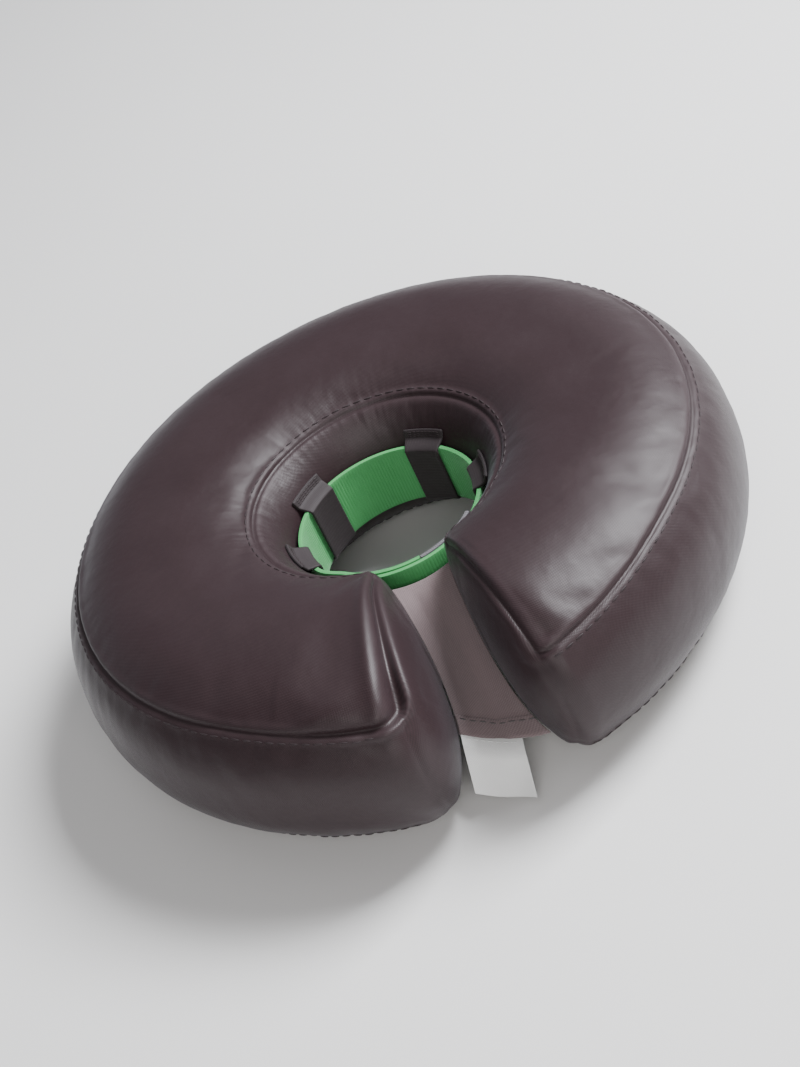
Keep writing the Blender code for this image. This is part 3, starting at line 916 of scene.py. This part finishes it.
# The neck strap: green ribbed polyester webbing, woven with a cord across it at every rib and a denser
# edge. It lies against the neck band, and its free end laps over its start at the front.
STRAP_WIDTH = 0.020
STRAP_THICKNESS = 0.0015
STRAP_OVERLAP = 0.024
STRAP_CROSSING = 0.010
HOOK_TAB_LENGTH = 0.020
RIB_PITCH = 0.0009
RIB_HEIGHT = 0.00013
ROWS_IN_RIB = 4
STRAP_COLUMNS = 14
SELVEDGE = 0.0012

against_band = NECK_RADIUS - CLEARANCE - STRAP_THICKNESS / 2
lapped = against_band - STRAP_THICKNESS - CLEARANCE
strap_start = FRONT - (STRAP_OVERLAP + HOOK_TAB_LENGTH) / 2 / against_band
strap_length = 2 * math.pi * against_band + STRAP_OVERLAP


def strap_radius(turned):
    crossing = STRAP_CROSSING / against_band
    step = smooth_step((turned - (2 * math.pi - crossing)) / crossing)
    return against_band + (lapped - against_band) * step


def tape_hoop(length, width, rows, columns, turned_at, radius_at, relief):
    """A tape on its edge, bent along a hoop, with a relief that depends on length and height."""
    bm = bmesh.new()
    bmesh.ops.create_grid(bm, x_segments=rows, y_segments=columns, size=0.5, calc_uvs=False)
    uv_layer = bm.loops.layers.uv.new("tape")
    flat = {vertex: ((vertex.co.x + 0.5) * length, vertex.co.y * width) for vertex in bm.verts}
    for face in bm.faces:
        for loop in face.loops:
            loop[uv_layer].uv = flat[loop.vert]
    for vertex, (along, rise) in flat.items():
        turned = turned_at(along)
        radius = radius_at(turned) + relief(along, rise)
        angle = strap_start + turned
        place = (radius * math.cos(angle), radius * math.sin(angle), TUBE_MIDDLE + rise)
        vertex.co = place
    return bm


def webbing_relief(along, rise):
    edge = STRAP_WIDTH / 2 - abs(rise)
    ribs = smooth_step(edge / SELVEDGE)
    waver = 0.00025 * noise.noise(Vector((along * 240, 0.0, 1.0)))
    lean = 0.10 * rise * noise.noise(Vector((along * 60, 4.0, 0.0)))
    wave = math.cos(2 * math.pi * (along + waver + lean * 0.1) / RIB_PITCH)
    ripple = 0.00012 * noise.noise(Vector((along * 90, rise * 120, 6.0)))
    return RIB_HEIGHT / 2 * wave * ribs + ripple


def add_tape(name, bm, wall, material, edge_round=0.00025):
    """A tape of a finished sheet: the sheet gets its wall, and the cut edges are rounded."""
    tape = add_piece(name, bm, material)
    solid = tape.modifiers.new("wall", "SOLIDIFY")
    solid.thickness = wall
    solid.offset = 0.0
    solid.use_even_offset = True
    rounding = tape.modifiers.new("edges", "BEVEL")
    rounding.width = edge_round
    rounding.segments = 2
    rounding.limit_method = "ANGLE"
    rounding.angle_limit = math.radians(50)
    return applied(tape)


strap_rows = round(strap_length / RIB_PITCH) * ROWS_IN_RIB
bm = tape_hoop(
    strap_length,
    STRAP_WIDTH - 2 * CLEARANCE,
    strap_rows,
    STRAP_COLUMNS,
    lambda along: along / against_band,
    strap_radius,
    webbing_relief,
)
webbing_green = cloth_finish(
    "strap webbing",
    (0.045, 0.33, 0.085),
    (0.16, 0.50, 0.20),
    roughness=0.62,
    thread=0.00022,
    thread_height=0.00004,
    crease_height=0.0001,
    wear=0.30,
    uv="tape",
    sheen=0.35,
    sheen_roughness=0.4,
    sheen_tint=(0.75, 1.0, 0.8),
)
neck_strap = add_tape("webbing_strap", bm, STRAP_THICKNESS - RIB_HEIGHT - 0.0002, webbing_green)
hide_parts("neck_strap")
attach(neck_strap, "root")


# The hook tab: grey hook tape, woven nylon with its hooks on the outer side, heat cut square and sewn
# to the webbing's free end with a box of stitches.
TAB_ROWS = 60
TAB_COLUMNS = 24
tab_first = 2 * math.pi + STRAP_OVERLAP / against_band + CLEARANCE / lapped


def tab_relief(along, rise):
    weft = 0.00004 * math.cos(2 * math.pi * along / 0.0011)
    return weft + 0.00008 * noise.noise(Vector((along * 150, rise * 150, 2.0)))


bm = tape_hoop(
    HOOK_TAB_LENGTH,
    STRAP_WIDTH - 2 * CLEARANCE,
    TAB_ROWS,
    TAB_COLUMNS,
    lambda along: tab_first + along / lapped,
    lambda turned: lapped,
    tab_relief,
)
hook_tape = cloth_finish(
    "hook tape",
    (0.115, 0.108, 0.120),
    (0.24, 0.23, 0.25),
    roughness=0.72,
    thread=0.00032,
    thread_height=0.00006,
    crease_height=0.0001,
    wear=0.40,
    uv="tape",
    sheen=0.3,
)
hook_tab = add_tape("hook_tab", bm, 0.0011, hook_tape)
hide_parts("strap_hook_tab")
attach(hook_tab, "root")

GREEN_THREAD_AT = 0.0020
bm = bmesh.new()


def hoop_point(turned, rise, radius):
    angle = strap_start + turned
    outward = Vector((math.cos(angle), math.sin(angle), 0.0))
    return outward * radius + Vector((0.0, 0.0, TUBE_MIDDLE + rise)), -outward


tab_face = lapped - 0.00056
box_first, box_last = tab_first + GREEN_THREAD_AT / lapped, tab_first + 0.0090 / lapped
box_rise = STRAP_WIDTH / 2 - GREEN_THREAD_AT
for start, stop in (
    ((box_first, -box_rise), (box_last, -box_rise)),
    ((box_last, -box_rise), (box_last, box_rise)),
    ((box_last, box_rise), (box_first, box_rise)),
    ((box_first, box_rise), (box_first, -box_rise)),
    ((box_first, -box_rise), (box_last, box_rise)),
    ((box_first, box_rise), (box_last, -box_rise)),
):
    line = []
    for step in range(25):
        share = step / 24
        turned = start[0] + (stop[0] - start[0]) * share
        line.append(hoop_point(turned, start[1] + (stop[1] - start[1]) * share, tab_face))
    sew(bm, line, pitch=0.0023, length=0.0018, width=0.00042)
tab_thread = cloth_finish(
    "tab thread",
    (0.19, 0.18, 0.20),
    (0.30, 0.29, 0.31),
    roughness=0.5,
    thread=0.00012,
    thread_height=0.00002,
    crease_height=0.0,
)
tab_stitches = add_piece("hook_tab_stitches", bm, tab_thread)
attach(tab_stitches, "root")


# The keepers: four loops of black grosgrain tape, folded over the strap and sewn to the neck band
# with a bar of close stitches above and below it.
KEEPER_TURNS = (-8.0, 50.0, 130.0, 188.0)
KEEPER_WIDTH = 0.012
KEEPER_WALL = 0.0010
KEEPER_FOOT = 0.003
KEEPER_ROWS = 64
KEEPER_COLUMNS = 14
KEEPER_RIB = 0.0011


def neck_wall_radius(rise):
    share = (1 - (abs(rise) / TUBE_HALF_HEIGHT) ** SECTION_SQUARENESS) ** (1 / SECTION_SQUARENESS)
    return RING_RADIUS - TUBE_HALF_WIDTH * share


def keeper_path(rise):
    """Radius of the middle of the tape: over the strap, then down to its foot on the band."""
    over = NECK_RADIUS - 2 * CLEARANCE - STRAP_THICKNESS - KEEPER_WALL / 2
    foot = neck_wall_radius(rise) - KEEPER_WALL / 2
    step = smooth_step((abs(rise) - STRAP_WIDTH / 2 + 0.0009) / 0.0020)
    return over + (foot - over) * step


keeper_tape = cloth_finish(
    "keeper tape",
    (0.020, 0.013, 0.015),
    (0.050, 0.038, 0.041),
    roughness=0.66,
    thread=0.00026,
    thread_height=0.00004,
    crease_height=0.0001,
    wear=0.40,
    uv="tape",
    sheen=0.08,
    specular=0.35,
)
keeper_height = STRAP_WIDTH + 2 * (CLEARANCE + KEEPER_FOOT)
for number, turn in enumerate(KEEPER_TURNS, start=1):
    bm = bmesh.new()
    bmesh.ops.create_grid(bm, x_segments=KEEPER_COLUMNS, y_segments=KEEPER_ROWS, size=0.5)
    uv_layer = bm.loops.layers.uv.new("tape")
    flat = {v: (v.co.x * KEEPER_WIDTH, v.co.y * keeper_height) for v in bm.verts}
    for face in bm.faces:
        for loop in face.loops:
            loop[uv_layer].uv = flat[loop.vert]
    for vertex, (across, rise) in flat.items():
        ribs = 0.00006 * math.cos(2 * math.pi * rise / KEEPER_RIB)
        slack = 0.00012 * math.cos(math.pi * across / KEEPER_WIDTH)
        radius = keeper_path(rise) + ribs - slack
        angle = math.radians(turn) + across / NECK_RADIUS
        vertex.co = (radius * math.cos(angle), radius * math.sin(angle), TUBE_MIDDLE + rise)
    keeper = add_tape(f"keeper_loop_{number}", bm, KEEPER_WALL - 0.0002, keeper_tape)
    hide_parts(f"strap_keeper_{number}")
    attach(keeper, "root")

BAR_ROWS = (-0.0006, 0.0, 0.0006)
bm = bmesh.new()
for turn in KEEPER_TURNS:
    for half in (-1, 1):
        for offset in BAR_ROWS:
            rise = half * (STRAP_WIDTH / 2 + CLEARANCE + KEEPER_FOOT * 0.62 + offset)
            line = []
            for step in range(13):
                across = (step / 12 - 0.5) * (KEEPER_WIDTH - 0.0020)
                angle = math.radians(turn) + across / NECK_RADIUS
                outward = Vector((math.cos(angle), math.sin(angle), 0.0))
                radius = keeper_path(rise) - KEEPER_WALL / 2 + 0.00002
                point = outward * radius + Vector((0.0, 0.0, TUBE_MIDDLE + rise))
                line.append((point, -outward))
            sew(bm, line, pitch=0.0013, length=0.0015, width=0.00042)
keeper_bars = add_piece("keeper_bar_tacks", bm, cover_thread)
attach(keeper_bars, "root")


# The closing flap: one layer of warm grey brushed nylon, sewn to the two end panels inside the gap, so
# that it hangs in a shallow trough. Its front edge is turned in a hem with one row of stitches.
FLAP_NECK_RISE = 0.008
FLAP_FRONT_DROP = 0.012
FLAP_NECK_SETBACK = 0.002
FLAP_FRONT_SETBACK = 0.022
FLAP_FRONT_SKEW = 0.008
FLAP_FRONT_TILT = 0.006
FLAP_SAG = 0.0015
FLAP_WALL = 0.0012
FLAP_ROWS = 110
FLAP_COLUMNS = 44
HEM_DEPTH = 0.0055
HEM_WALL = 0.00035


def end_panel_x(end, y, z):
    """Distance from the plane of symmetry to an end panel, at a place beside the gap."""
    end_round = end.round_share * TUBE_WIDTH
    radius = -y
    for _ in range(4):
        across = (abs(radius - RING_RADIUS) / TUBE_HALF_WIDTH) ** SECTION_SQUARENESS
        across += (abs(z - TUBE_MIDDLE) / TUBE_HALF_HEIGHT) ** SECTION_SQUARENESS
        share = min(across ** (1 / SECTION_SQUARENESS), 0.98)
        along = end_round * (1 - (1 - share**END_SQUARENESS) ** (1 / END_SQUARENESS))
        x = radius * math.sin(end_turn(radius) + along / RING_RADIUS)
        radius = math.hypot(x, y)
    return x


def flap_front(across):
    """Y and Z of the flap's front edge, from -1 at its left corner to 1 at its right one."""
    y = -(COLLAR_DIAMETER / 2 - FLAP_FRONT_SETBACK) - FLAP_FRONT_SKEW * across / 2
    return y, TUBE_MIDDLE - FLAP_FRONT_DROP - FLAP_FRONT_TILT * across / 2


def flap_point(share, across, depth=0.0):
    """A point of the flap, from the neck to the front and from its left side to its right one."""
    neck_y = -(NECK_RADIUS + FLAP_NECK_SETBACK)
    neck_z = TUBE_MIDDLE + FLAP_NECK_RISE
    front_y, front_z = flap_front(across)
    y = neck_y + (front_y - neck_y) * share
    z = neck_z + (front_z - neck_z) * share - depth
    half_width = end_panel_x(LEFT if across < 0 else RIGHT, y, z)
    sag = FLAP_SAG * (1 - across**2)
    slack = smooth_step(share / 0.12) * (1 - share * 0.7)
    ruck = 0.00045 * slack * noise.noise(Vector((across * 2.6 + share, share * 3.0, 9.0)))
    tension = 0.00035 * math.sin(7.0 * across + 5.0 * share) * (1 - across**2) * smooth_step(share * 3)
    return Vector((half_width * across, y, z - sag + ruck + tension))


bm = bmesh.new()
bmesh.ops.create_grid(bm, x_segments=FLAP_ROWS, y_segments=FLAP_COLUMNS, size=1.0)
uv_layer = bm.loops.layers.uv.new("cloth")
flap_length = (Vector((0, *flap_front(0))) - flap_point(0.0, 0.0)).length
for face in bm.faces:
    for loop in face.loops:
        loop[uv_layer].uv = (loop.vert.co.x * flap_length / 2, loop.vert.co.y * END_GAP_AT_FRONT / 2)
for vertex in bm.verts:
    vertex.co = flap_point((vertex.co.x + 1) / 2, vertex.co.y, FLAP_WALL / 2)
bmesh.ops.recalc_face_normals(bm, faces=bm.faces)
flap_area = sum(face.calc_area() for face in bm.faces)
flap_cloth = cloth_finish(
    "flap cloth",
    (0.165, 0.118, 0.122),
    (0.225, 0.172, 0.175),
    roughness=0.84,
    thread=0.00034,
    thread_height=0.00005,
    crease_size=0.005,
    crease_height=0.0003,
    wear=0.35,
    uv="cloth",
    sheen=0.4,
    sheen_roughness=0.5,
)
flap = add_tape("flap", bm, FLAP_WALL * 0.6, flap_cloth)


def flap_frame(share, across):
    """A point on the flap's middle, its direction to the front and its upward normal."""
    here = flap_point(share, across, FLAP_WALL / 2)
    ahead = (flap_point(min(share, 0.99) + 0.01, across) - flap_point(min(share, 0.99), across)).normalized()
    beside = (flap_point(share, min(across, 0.98) + 0.02) - flap_point(share, min(across, 0.98))).normalized()
    up = ahead.cross(beside).normalized()
    return here, ahead, up if up.z > 0 else -up


HEM_ROWS = 24
hem_offset = FLAP_WALL * 0.3 + HEM_WALL / 2
bm = bmesh.new()
bmesh.ops.create_grid(bm, x_segments=HEM_ROWS, y_segments=FLAP_COLUMNS, size=1.0)
uv_layer = bm.loops.layers.uv.new("cloth")
for face in bm.faces:
    for loop in face.loops:
        loop[uv_layer].uv = (loop.vert.co.x * HEM_DEPTH, loop.vert.co.y * END_GAP_AT_FRONT / 2)
for vertex in bm.verts:
    run, across = vertex.co.x * 1.25, vertex.co.y
    if abs(run) < 0.25:
        turn = run / 0.25 * math.pi / 2
        here, ahead, up = flap_frame(1.0, across)
        vertex.co = here + (ahead * math.cos(turn) + up * math.sin(turn)) * hem_offset
    else:
        back = (abs(run) - 0.25) * HEM_DEPTH
        here, ahead, up = flap_frame(1.0 - back / flap_length, across)
        puff = 0.00012 * math.sin(math.pi * min(back / HEM_DEPTH, 1.0))
        vertex.co = here + up * math.copysign(hem_offset + puff, run)
bmesh.ops.recalc_face_normals(bm, faces=bm.faces)
flap_hem = add_tape("flap_hem", bm, HEM_WALL, flap_cloth, edge_round=0.0001)
line = []
for step in range(41):
    across = -0.94 + 1.88 * step / 40
    here, ahead, up = flap_frame(1.0 - (HEM_DEPTH - 0.0012) / flap_length, across)
    line.append((here + up * (hem_offset + HEM_WALL / 2), up))
bm = bmesh.new()
sew(bm, line, pitch=0.0026, length=0.0020, width=0.00045)
flap_thread = cloth_finish(
    "flap thread",
    (0.050, 0.045, 0.046),
    (0.11, 0.10, 0.10),
    roughness=0.5,
    thread=0.00012,
    thread_height=0.00002,
    crease_height=0.0,
)
flap_stitches = add_piece("flap_stitches", bm, flap_thread)
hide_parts("closing_flap")
for piece in (flap, flap_hem, flap_stitches):
    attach(piece, "root")
2 * end_panel_x(RIGHT, *flap_front(1.0))
min(flap_area, 2 * end_panel_x(RIGHT, *flap_front(1.0)) * flap_length)


# The care label: a strip of white satin ribbon, slit with a hot knife and caught in the flap's hem. It
# hangs over the front with a curl, and nothing is printed on it.
LABEL_WIDTH = 0.014
LABEL_LENGTH = 0.016
LABEL_OFFSET = -0.002
LABEL_BEND_RADIUS = 0.007
LABEL_BEND = 60.0
LABEL_LEAN = 12.0
LABEL_ROWS = 48
LABEL_COLUMNS = 36
LABEL_WALL = 0.00035


def label_point(length, across):
    """A point of the label, from the hem to its free end and from -1 at its left edge to 1."""
    half_gap = END_GAP_AT_FRONT / 2
    turned = min(length / LABEL_BEND_RADIUS, math.radians(LABEL_BEND))
    straight = length - turned * LABEL_BEND_RADIUS
    ahead = LABEL_BEND_RADIUS * math.sin(turned) + straight * math.cos(turned)
    down = LABEL_BEND_RADIUS * (1 - math.cos(turned)) + straight * math.sin(turned)
    x = LABEL_OFFSET + across * LABEL_WIDTH / 2
    front_y, front_z = flap_front(x / half_gap)
    front_z -= FLAP_SAG * (1 - (x / half_gap) ** 2) + FLAP_WALL / 2
    curl = 0.0009 * across**2 * smooth_step(length / LABEL_LENGTH)
    ripple = 0.0003 * math.sin(3.2 * across + 160 * length) * smooth_step(length / 0.004)
    x -= length * math.sin(math.radians(LABEL_LEAN))
    return Vector((x, front_y - CLEARANCE - ahead - curl - ripple, front_z - down + curl * 0.4))


bm = bmesh.new()
bmesh.ops.create_grid(bm, x_segments=LABEL_ROWS, y_segments=LABEL_COLUMNS, size=1.0)
uv_layer = bm.loops.layers.uv.new("cloth")
for face in bm.faces:
    for loop in face.loops:
        loop[uv_layer].uv = (loop.vert.co.x * LABEL_LENGTH / 2, loop.vert.co.y * LABEL_WIDTH / 2)
for vertex in bm.verts:
    vertex.co = label_point((vertex.co.x + 1) / 2 * LABEL_LENGTH, vertex.co.y)
bmesh.ops.recalc_face_normals(bm, faces=bm.faces)
label_area = sum(face.calc_area() for face in bm.faces)
label_satin = cloth_finish(
    "label satin",
    (0.86, 0.86, 0.85),
    (0.76, 0.755, 0.74),
    roughness=0.40,
    thread=0.00016,
    thread_height=0.00001,
    crease_size=0.004,
    crease_height=0.00012,
    wear=0.25,
    uv="cloth",
    sheen=0.15,
)
label = add_tape("care_label_ribbon", bm, LABEL_WALL, label_satin, edge_round=0.0001)
line = []
for step in range(25):
    across = -0.92 + 1.84 * step / 24
    here, beside = label_point(0.0013, across), label_point(0.0013, across + 0.02)
    ahead = (label_point(0.0018, across) - here).normalized()
    up = ahead.cross((beside - here).normalized()).normalized()
    up = up if up.z > 0 else -up
    line.append((here + up * LABEL_WALL / 2, up))
bm = bmesh.new()
sew(bm, line, pitch=0.0020, length=0.0015, width=0.00036)
white_thread = cloth_finish(
    "white thread",
    (0.80, 0.80, 0.79),
    (0.66, 0.65, 0.63),
    roughness=0.5,
    thread=0.00012,
    thread_height=0.00002,
    crease_height=0.0,
)
label_stitches = add_piece("label_stitches", bm, white_thread)
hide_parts("care_label")
for piece in (label, label_stitches):
    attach(piece, "root")


# The collar is made round the axis of its neck opening, and here it all moves to where the CAD has
# that axis, which the outer face of the valve's flange gives
VALVE_FACE = 0.0994
axis_shift = Matrix.Translation((0.0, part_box("valve")[1].y - VALVE_FACE, 0.0))
for piece in collar_pieces:
    piece.data.transform(axis_shift)


# The floor: a wide pale matt sheet under the collar, and the soft lights of a studio round it
FLOOR_SIZE = 3.0
bm = bmesh.new()
bmesh.ops.create_grid(bm, x_segments=1, y_segments=1, size=FLOOR_SIZE)
paper = bpy.data.materials.new("pale paper")
paper.use_nodes = True
tree = paper.node_tree
shader = tree.nodes["Principled BSDF"]
coordinates = tree.nodes.new("ShaderNodeTexCoord").outputs["Object"]
grain = mottle(tree, coordinates, 5.0, 3.0)
join(tree, blend_colours(tree, grain, (0.70, 0.69, 0.68), (0.74, 0.73, 0.72)), shader.inputs["Base Color"])
shader.inputs["Roughness"].default_value = 0.85
floor = add_piece("floor", bm, paper)


def add_softbox(name, place, target, size, power, colour):
    light = bpy.data.lights.new(name, "AREA")
    light.shape = "RECTANGLE"
    light.size, light.size_y = size
    light.energy = power
    light.color = colour
    lamp = bpy.data.objects.new(name, light)
    lamp.location = place
    lamp.rotation_euler = (Vector(target) - Vector(place)).to_track_quat("-Z", "Y").to_euler()
    bpy.context.scene.collection.objects.link(lamp)


middle = (0.0, 0.0, 0.03)
add_softbox("key", (0.66, 0.10, 0.80), middle, (0.45, 0.45), 32.0, (0.95, 0.97, 1.0))
add_softbox("fill", (-0.10, -0.95, 0.60), middle, (0.8, 0.6), 8.0, (1.0, 0.98, 0.96))
add_softbox("top", (-0.20, 0.25, 1.10), middle, (0.7, 0.7), 1.0, (0.98, 0.99, 1.0))

world = bpy.data.worlds.new("studio")
world.use_nodes = True
world.node_tree.nodes["Background"].inputs["Color"].default_value = (0.92, 0.94, 1.0, 1.0)
world.node_tree.nodes["Background"].inputs["Strength"].default_value = 0.24
bpy.context.scene.world = world


# The camera: from the front and above, turned so that the collar's right side is up
ELEVATION = math.radians(37.6)
ROLL = math.radians(26.3)
DISTANCE = 0.600
FOCAL_SHARE = 1.95  # of the image's height
SENSOR = 36.0
VIEW_CENTRE = Vector((0.0, 0.004, 0.024))

forward = Vector((0.0, math.cos(ELEVATION), -math.sin(ELEVATION)))
right = forward.cross(Vector((0, 0, 1))).normalized()
up = right.cross(forward)
camera_x = right * math.cos(ROLL) - up * math.sin(ROLL)
camera_y = right * math.sin(ROLL) + up * math.cos(ROLL)
lens = bpy.data.cameras.new("camera")
lens.sensor_fit = "VERTICAL"
lens.sensor_height = SENSOR
lens.lens = FOCAL_SHARE * SENSOR
camera = bpy.data.objects.new("camera", lens)
turned = Matrix((camera_x, camera_y, -forward)).transposed().to_4x4()
camera.matrix_world = Matrix.Translation(VIEW_CENTRE - forward * DISTANCE) @ turned
bpy.context.scene.collection.objects.link(camera)
bpy.context.scene.camera = camera
